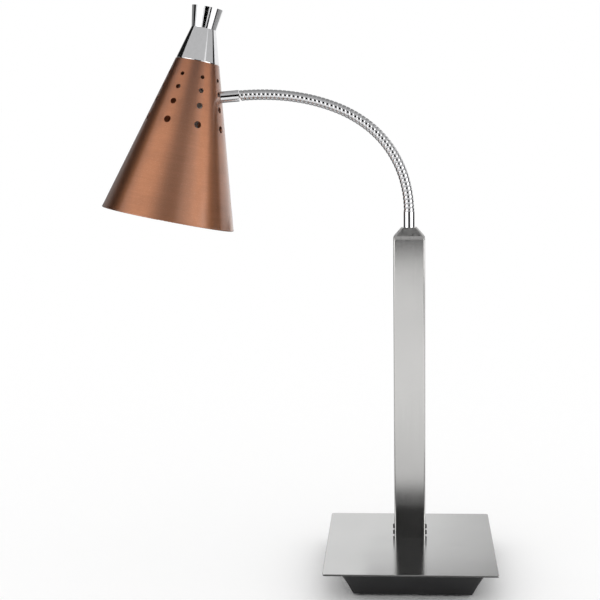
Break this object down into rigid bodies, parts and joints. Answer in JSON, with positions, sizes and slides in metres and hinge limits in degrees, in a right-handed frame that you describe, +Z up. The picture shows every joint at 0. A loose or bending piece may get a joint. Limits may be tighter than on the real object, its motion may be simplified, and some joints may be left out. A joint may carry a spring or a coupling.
{
  "type": "heat lamp warmer",
  "caption": "Countertop food warmer: a conical vented shade with a reflector lamp on a bendable gooseneck, on a square post and flat base plate.",
  "frame": {"origin": "on the table, under the middle of the whole object's outline", "axes": "+Z up, +X from the shade towards the base, +Y to the back, where the switch and cord gland are"},
  "size_m": [0.5809, 0.3, 0.8504],
  "materials": {
    "plate_steel": "satin stainless plate",
    "tray_black": "black powder coat",
    "screw_steel": "bright zinc-plated fastener",
    "black_screw": "black oxide fastener",
    "foot_rubber": "matt black rubber",
    "iron": "raw cast iron",
    "black_plastic": "black moulded nylon",
    "white_plastic": "natural moulded nylon",
    "post_steel": "satin stainless, brushed along its length",
    "cap_metal": "cast and satin finished",
    "bracket_steel": "zinc-plated sheet steel",
    "bright_chrome": "bright chrome plate",
    "neck_chrome": "bright chrome flexible tube, fine close ribs",
    "lead_silicone": "heat-resistant silicone sleeve",
    "copper": "spun, brushed and copper plated",
    "ceramic": "glazed white ceramic",
    "brass": "plain brass",
    "bulb_glass": "satin-frosted reflector lamp glass"
  },
  "bodies": {
    "base": {"base_plate": "plate_steel", "base_tray": "tray_black", "bottom_cover": "tray_black", "cover_screws": "screw_steel", "rubber_feet": "foot_rubber", "ballast_slab": "iron", "ballast_screws": "screw_steel", "plate_studs": "screw_steel", "stud_nuts": "screw_steel", "cord_gland": "black_plastic", "gland_nut": "black_plastic", "terminal_block": "white_plastic", "terminal_screws": "screw_steel", "post_tube": "post_steel", "foot_bracket": "bracket_steel", "foot_bolts": "screw_steel", "foot_nuts": "screw_steel", "foot_screws": "black_screw", "plate_grommet": "foot_rubber", "post_cap": "cap_metal", "cap_pipe": "screw_steel", "cap_washer": "screw_steel", "cap_nut": "screw_steel", "lower_ferrule": "bright_chrome", "switch_housing": "black_plastic", "base_lead": "lead_silicone", "post_lead": "lead_silicone", "neck_1": "neck_chrome", "neck_lead_1": "lead_silicone"},
    "rocker": {"switch_rocker": "black_plastic"},
    "arm_2": {"neck_2": "neck_chrome", "neck_lead_2": "lead_silicone"},
    "arm_3": {"neck_3": "neck_chrome", "neck_lead_3": "lead_silicone"},
    "arm_4": {"neck_4": "neck_chrome", "neck_lead_4": "lead_silicone"},
    "arm_5": {"neck_5": "neck_chrome", "neck_lead_5": "lead_silicone"},
    "arm_6": {"neck_6": "neck_chrome", "neck_lead_6": "lead_silicone"},
    "head": {"neck_7": "neck_chrome", "neck_lead_7": "lead_silicone", "shade": "copper", "finial": "bright_chrome", "finial_screws": "screw_steel", "finial_nuts": "screw_steel", "upper_ferrule": "bright_chrome", "head_pipe": "screw_steel", "saddle_washer": "screw_steel", "head_nut": "screw_steel", "holder_bracket": "bracket_steel", "lamp_holder": "ceramic", "holder_screws": "screw_steel", "holder_shell": "brass", "holder_contact": "brass", "bulb_glass": "bulb_glass", "bulb_cap": "brass", "head_lead": "lead_silicone"}
  },
  "joints": [
    {"name": "neck_lower_bend", "type": "hinge", "parent": "base", "child": "arm_2", "pos_m": [0.15899, 0.035, 0.59263], "axis": [0, -1, 0], "range_deg": [-12, 12]},
    {"name": "neck_side_bend", "type": "hinge", "parent": "arm_2", "child": "arm_3", "pos_m": [0.13793, 0.035, 0.63698], "axis": [0.8251, 0, 0.565], "range_deg": [-12, 12]},
    {"name": "neck_lower_bend_2", "type": "hinge", "parent": "arm_3", "child": "arm_4", "pos_m": [0.10405, 0.035, 0.6725], "axis": [0, -1, 0], "range_deg": [-12, 12]},
    {"name": "neck_upper_bend", "type": "hinge", "parent": "arm_4", "child": "arm_5", "pos_m": [0.06131, 0.035, 0.69678], "axis": [0, -1, 0], "range_deg": [-12, 12]},
    {"name": "neck_side_bend_2", "type": "hinge", "parent": "arm_5", "child": "arm_6", "pos_m": [0.01421, 0.035, 0.71113], "axis": [0.2045, 0, 0.9789], "range_deg": [-12, 12]},
    {"name": "neck_upper_bend_2", "type": "hinge", "parent": "arm_6", "child": "head", "pos_m": [-0.03464, 0.035, 0.71735], "axis": [0, -1, 0], "range_deg": [-12, 12]},
    {"name": "switch_press", "type": "hinge", "parent": "base", "child": "rocker", "pos_m": [0.166, 0.0472, 0.1405], "axis": [1, 0, 0], "range_deg": [0, 20]}
  ],
  "couplings": [
    {"joint": "neck_lower_bend_2", "follows": "neck_lower_bend", "ratio": 1},
    {"joint": "neck_upper_bend_2", "follows": "neck_upper_bend", "ratio": 1},
    {"joint": "neck_side_bend_2", "follows": "neck_side_bend", "ratio": 1}
  ]
}
